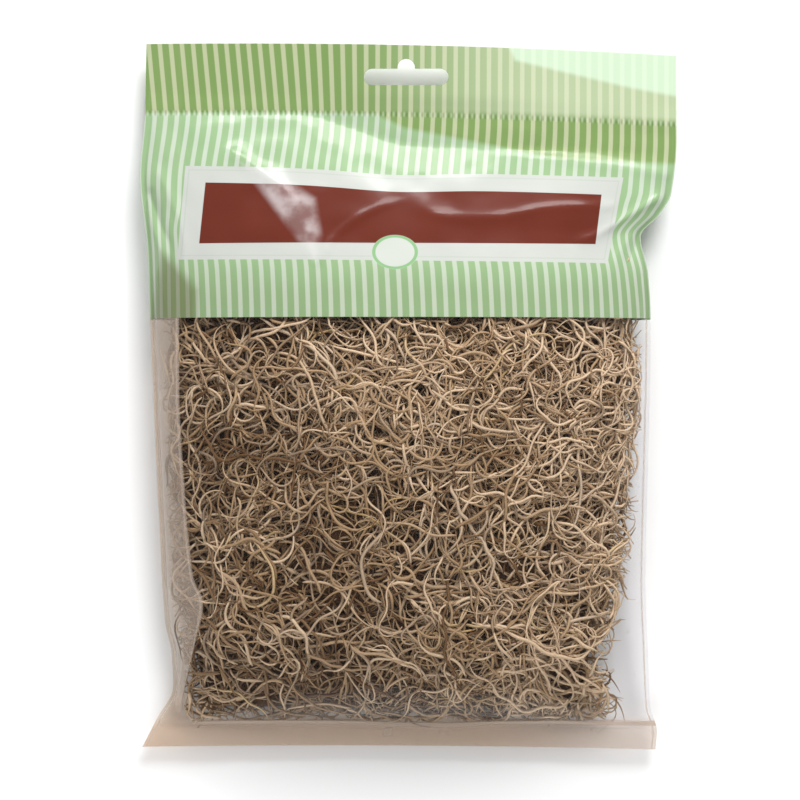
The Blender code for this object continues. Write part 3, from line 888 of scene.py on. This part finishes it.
def strand_line(rng, start, heading, length, step):
    """Plan of one strand, which arcs, sways and curls up at its tip."""
    s = np.linspace(0, length, max(int(length / step), FEWEST_POINTS))
    arc = np.clip(rng.normal(0, ARC_SPREAD), -MOST_ARC, MOST_ARC) / length
    sway, wave, phase = rng.uniform(*SWAY), rng.uniform(*SWAY_LENGTH), rng.uniform(0, 2 * math.pi)
    curl = rng.choice((-1, 1)) * rng.uniform(0.0, MOST_CURL)
    turn = arc + sway * np.sin(2 * math.pi * s / wave + phase) + curl * (s / length) ** CURL_POWER
    turn = np.clip(turn, -TIGHTEST_TURN, TIGHTEST_TURN)
    angle = heading + np.concatenate([[0], np.cumsum((turn[1:] + turn[:-1]) / 2 * np.diff(s))])
    x = start[0] + np.concatenate([[0], np.cumsum(np.cos(angle[:-1]) * np.diff(s))])
    y = start[1] + np.concatenate([[0], np.cumsum(np.sin(angle[:-1]) * np.diff(s))])
    return x, y, angle, s / length


def points_inside(rng, x, y, reach):
    """How many points of a strand come before it has gone too far out of the bunch."""
    patchy = PATCHY_OVERREACH * noise_at(x[0], y[0], RIM_PATCHES)
    over = min(rng.exponential(OVERREACH) + patchy, MOST_OVERREACH) + reach
    out = (x < moss_left(y) - over) | (x > moss_right(y) + over)
    out |= (x < left_side(y) + EDGE_ROOM) | (x > right_side(y) - EDGE_ROOM)
    out |= (y < MOSS_LOW - over) | (y > MOSS_HIGH + over)
    return int(out.argmax()) if out.any() else len(x)


def strand_tube(points, radii, flat):
    """Ring points of a four-sided tube along a strand."""
    ahead = np.gradient(points, axis=0)
    ahead /= np.linalg.norm(ahead, axis=1, keepdims=True) + TINY
    across = np.cross(ahead, (0.0, 0.0, 1.0))
    across /= np.linalg.norm(across, axis=1, keepdims=True) + TINY
    wide, thin = across * radii[:, None], np.cross(across, ahead) * radii[:, None] * flat
    return np.stack([points + wide, points + thin, points - wide, points - thin], 1).reshape(-1, 3)


def tube_faces(count):
    """Faces of a four-sided tube with both ends closed."""
    ring = np.arange(SIDES)
    after = (ring + 1) % SIDES
    base = (np.arange(count - 1) * SIDES)[:, None]
    walls = np.stack([base + ring, base + after, base + SIDES + after, base + SIDES + ring], 2)
    last = SIDES * (count - 1)
    return np.vstack([walls.reshape(-1, 4)[:, ::-1], [ring, last + ring[::-1]]])


class Tangle:
    """Strands gathered into pieces that stay under the face limit."""

    def __init__(self, name, material):
        self.name, self.material, self.pieces = name, material, 0
        self.clear()

    def clear(self):
        self.vertices, self.faces, self.tones, self.alongs = [], [], [], []
        self.points = self.total = 0

    def add(self, points, radii, flat, tone, along):
        ring, faces = strand_tube(points, radii, flat), tube_faces(len(points))
        self.vertices.append(ring)
        self.faces.append(faces + self.points)
        self.tones.append(np.full(len(ring), tone))
        self.alongs.append(np.repeat(along, SIDES))
        self.points += len(ring)
        self.total += len(faces)
        if self.total > PIECE_FACES:
            self.finish()

    def finish(self):
        if not self.total:
            return
        self.pieces += 1
        name = f"{self.name}_{self.pieces}"
        obj = new_piece(name, np.vstack(self.vertices), np.vstack(self.faces), "dried_moss")
        store(obj, "tone", np.concatenate(self.tones))
        store(obj, "along", np.concatenate(self.alongs))
        obj.data.materials.append(self.material)
        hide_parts("moss_bunch")
        self.clear()


def strand_heights(rng, start, x, y, along, layer, side):
    """Heights of a strand in a layer under a web, which rises and dips as it winds."""
    depth = rng.uniform(*layer)
    swing = rng.uniform(*SWING)
    swing = swing * np.sin(2 * math.pi * along * rng.uniform(*SWINGS) + rng.uniform(0, TURN))
    ground, ceiling = room(x, y)
    mid = (ground + ceiling) / 2
    if side > 0:
        depth += POCKET_DEPTH * max(noise_at(*start, POCKETS) - POCKET_START, 0)
        z = np.clip(ceiling - np.maximum(depth + swing, 0), mid, ceiling)
    elif side == 0:
        z = np.clip(ground + (ceiling - ground) * depth + 2 * swing, ground, ceiling)
    else:
        z = np.clip(ground + np.maximum(depth + swing, 0), ground, mid)
    return np.where(ceiling - ground < LEAST_ROOM, mid, z)


def lay_strand(tangle, rng, start, heading, length, layer, side, step, tone, thick=1.0, reach=0.0):
    """One strand, cut where it leaves the bunch. Gives its plan and headings, if it is long enough."""
    x, y, angle, along = strand_line(rng, start, heading, length, step)
    kept = points_inside(rng, x, y, reach)
    if kept < FEWEST_KEPT:
        return None
    x, y, angle, along = x[:kept], y[:kept], angle[:kept], along[:kept] / along[kept - 1]
    z = strand_heights(rng, start, x, y, along, layer, side)
    full = np.minimum(ramp(along, *ROOT_TAPER), 1 - ramp(along, *TIP_TAPER))
    radii = thick * rng.uniform(*THICKNESS) * (TIP_RADIUS + (STRAND_RADIUS - TIP_RADIUS) * full)
    tangle.add(np.stack([x, y, z], 1), radii, rng.uniform(*FLATNESS), tone, along)
    return x, y, angle


def tone_at(rng, start, dark):
    """Tone of a strand, from 0 for dark to 1 for light: painted light makes it lighter up at the
    print and along the right side, and painted shade darker deep down and in the pockets."""
    side, top = RIGHT_LIGHT * ramp(start[0], *RIGHT_PLACES), TOP_LIGHT * ramp(start[1], *TOP_HEIGHTS)
    shade = dark + POCKET_SHADE * noise_at(*start, POCKETS)
    return np.clip(rng.uniform(*TONES) + side + top - shade, 0, 1)


def lay_sprig(tangle, rng, start, heading, layer, side, step, dark):
    """A stem with curled leaves that fan out from it."""
    tone = tone_at(rng, start, dark)
    length = rng.uniform(*STEM_LENGTHS)
    stem = lay_strand(tangle, rng, start, heading, length, layer, side, step, tone, STEM_THICK)
    if not stem:
        return
    x, y, angle = stem
    for _ in range(rng.integers(*LEAVES)):
        i = rng.integers(2, len(x) - 1)
        lean = rng.choice((-1, 1)) * rng.uniform(*LEANS)
        own = np.clip(tone + rng.uniform(-TONE_SPREAD, TONE_SPREAD), 0, 1)
        lay_strand(tangle, rng, (x[i], y[i]), angle[i] + lean, rng.uniform(*LEAF_LENGTHS), layer, side,
                   step, own, LEAF_THICK)


def scatter(rng, low, high, clumping, rim):
    """A random place in the bunch, more often where strands clump together; rim keeps to its edge."""
    while True:
        y = rng.uniform(low, high)
        left, right = float(moss_left(y)), float(moss_right(y))
        x = rng.uniform(left, right)
        if rim and min(x - left, right - x, y - low, high - y) > RIM_DEPTH:
            continue
        if rng.uniform() > clumping * (0.5 - noise_at(x, y, CLUMPS)):
            return x, y


def moss_layers(material):
    """All the strands, from the deep ones up to those against each web."""
    rng = np.random.default_rng(SEED)
    few = 1.0
    for name, side, layer, sprigs, singles, step, (low, high) in LAYERS:
        tangle = Tangle(name, material)
        clumping = TIGHT_CLUMPS if layer[0] < 1 else LOOSE_CLUMPS
        # Painted shade of the deeper layers and of the strands between the webs at the sides
        dark = DEPTH_SHADE * layer[0] if side else SIDE_SHADE
        for _ in range(int(sprigs * few)):
            start = scatter(rng, low, high, clumping, side == 0)
            lay_sprig(tangle, rng, start, rng.uniform(0, TURN), layer, side, step, dark)
        for _ in range(int(singles * few)):
            start = scatter(rng, low, high, clumping, side == 0)
            lay_strand(tangle, rng, start, rng.uniform(0, TURN), rng.uniform(*SINGLE_LENGTHS), layer,
                       side, step, tone_at(rng, start, dark))
        tangle.finish()


def stray_strands(material):
    """Thin loose tips that reach out of the bunch into the empty right side of the bag."""
    rng = np.random.default_rng(SEED + 1)
    tangle = Tangle("moss_strays", material)
    for _ in range(STRAYS):
        y = rng.uniform(*STRAY_HEIGHTS)
        start = float(moss_right(y)) - rng.uniform(*STRAY_ROOTS), y
        heading = rng.uniform(-STRAY_LEAN, STRAY_LEAN)
        lay_strand(tangle, rng, start, heading, rng.uniform(*STRAY_LENGTHS), STRAY_LAYER, 1, STRAY_STEP,
                   rng.uniform(*STRAY_TONES), STRAY_THICK, rng.uniform(*STRAY_REACH))
    tangle.finish()


def closed_off(share, power):
    """1 in the middle of a share from -1 to 1, falling roundly to 0 at its ends."""
    return np.sqrt(np.clip(1 - np.abs(share) ** power, 0, 1))


def moss_core(material):
    """Lumpy heart of the bunch, dark with painted shade, which closes the gaps between the strands."""
    columns, rows = CORE_GRID
    a, b = np.meshgrid(np.sin(np.linspace(-0.5, 0.5, columns) * math.pi), np.linspace(-1, 1, rows))
    a, b = a.ravel(), b.ravel()
    y = CORE_MIDDLE + CORE_REACH * b
    left, right = moss_left(y) + CORE_ROOM[0], moss_right(y) - CORE_ROOM[1]
    narrowed = 1 - CORE_CORNER + CORE_CORNER * closed_off(b, CORNER_ROUND)
    x = (left + right) / 2 + (right - left) / 2 * a * narrowed
    ground, ceiling = room(x, y)
    lumps = waves(x, y, BIG_LUMPS) + waves(x, y, SMALL_LUMPS)
    half = np.maximum((ceiling - ground) / 2 - CORE_DEPTH + lumps, LEAST_CORE)
    half = half * closed_off(a, CORE_ROUND) * closed_off(b, END_ROUND) + CORE_RIM
    middle = (ground + ceiling) / 2
    top, bottom = np.stack([x, y, middle + half], 1), np.stack([x, y, middle - half], 1)
    obj = new_piece("moss_core", *shell(top, bottom, columns, rows), "dried_moss")
    obj.data.materials.append(material)
    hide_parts("moss_bunch")


# Studio

def area_light(name, place, target, size, power, mirrored):
    """A soft light that faces a target. One that isn't mirrored leaves no image of itself on film."""
    data = bpy.data.lights.new(name, "AREA")
    data.shape, data.energy = "RECTANGLE", power
    data.size, data.size_y = size
    lamp = bpy.data.objects.new(name, data)
    lamp.location = place
    lamp.visible_glossy = mirrored
    lamp.rotation_euler = (Vector(target) - Vector(place)).to_track_quat("-Z", "Y").to_euler()
    bpy.context.scene.collection.objects.link(lamp)


def pale_floor():
    """The surface that the bag lies on."""
    material, _, shader = new_material("floor")
    shader.inputs["Base Color"].default_value = (*FLOOR_TONE, 1)
    shader.inputs["Roughness"].default_value = 0.9
    mesh = bpy.data.meshes.new("floor")
    far = FLOOR_REACH
    mesh.from_pydata([(-far, -far, 0), (far, -far, 0), (far, far, 0), (-far, far, 0)], [], [(0, 1, 2, 3)])
    mesh.materials.append(material)
    floor = bpy.data.objects.new("floor", mesh)
    floor.location.z = -FLOOR_DROP
    bpy.context.scene.collection.objects.link(floor)


def studio():
    """Pale floor, soft lights, and a camera that looks straight down as the photograph does."""
    pale_floor()
    world = bpy.data.worlds.new("studio")
    world.use_nodes = True
    daylight = world.node_tree.nodes["Background"]
    daylight.inputs["Color"].default_value = (1, 1, 1, 1)
    daylight.inputs["Strength"].default_value = DAYLIGHT
    bpy.context.scene.world = world
    for light in LIGHTS:
        area_light(*light)
    data = bpy.data.cameras.new("camera")
    data.lens, data.sensor_width = CAMERA_LENS, CAMERA_SENSOR
    data.clip_start, data.clip_end = CAMERA_CLIP
    camera = bpy.data.objects.new("camera", data)
    camera.location = CAMERA_PLACE
    bpy.context.scene.collection.objects.link(camera)
    bpy.context.scene.camera = camera
    bpy.context.scene.view_settings.view_transform = "Standard"


def main():
    studio()
    front = film_web("front_film", 1, FRONT_GRID, film_material("front_film", FRONT_PRINT_END, True),
                     "printed_film")
    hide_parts("bag_front")
    back = film_web("back_film", -1, BACK_GRID, film_material("back_film", BACK_PRINT_END, False),
                    "clear_film")
    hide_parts("bag_back")
    moss_core(core_material())
    strands = strand_material()
    moss_layers(strands)
    stray_strands(strands)


main()
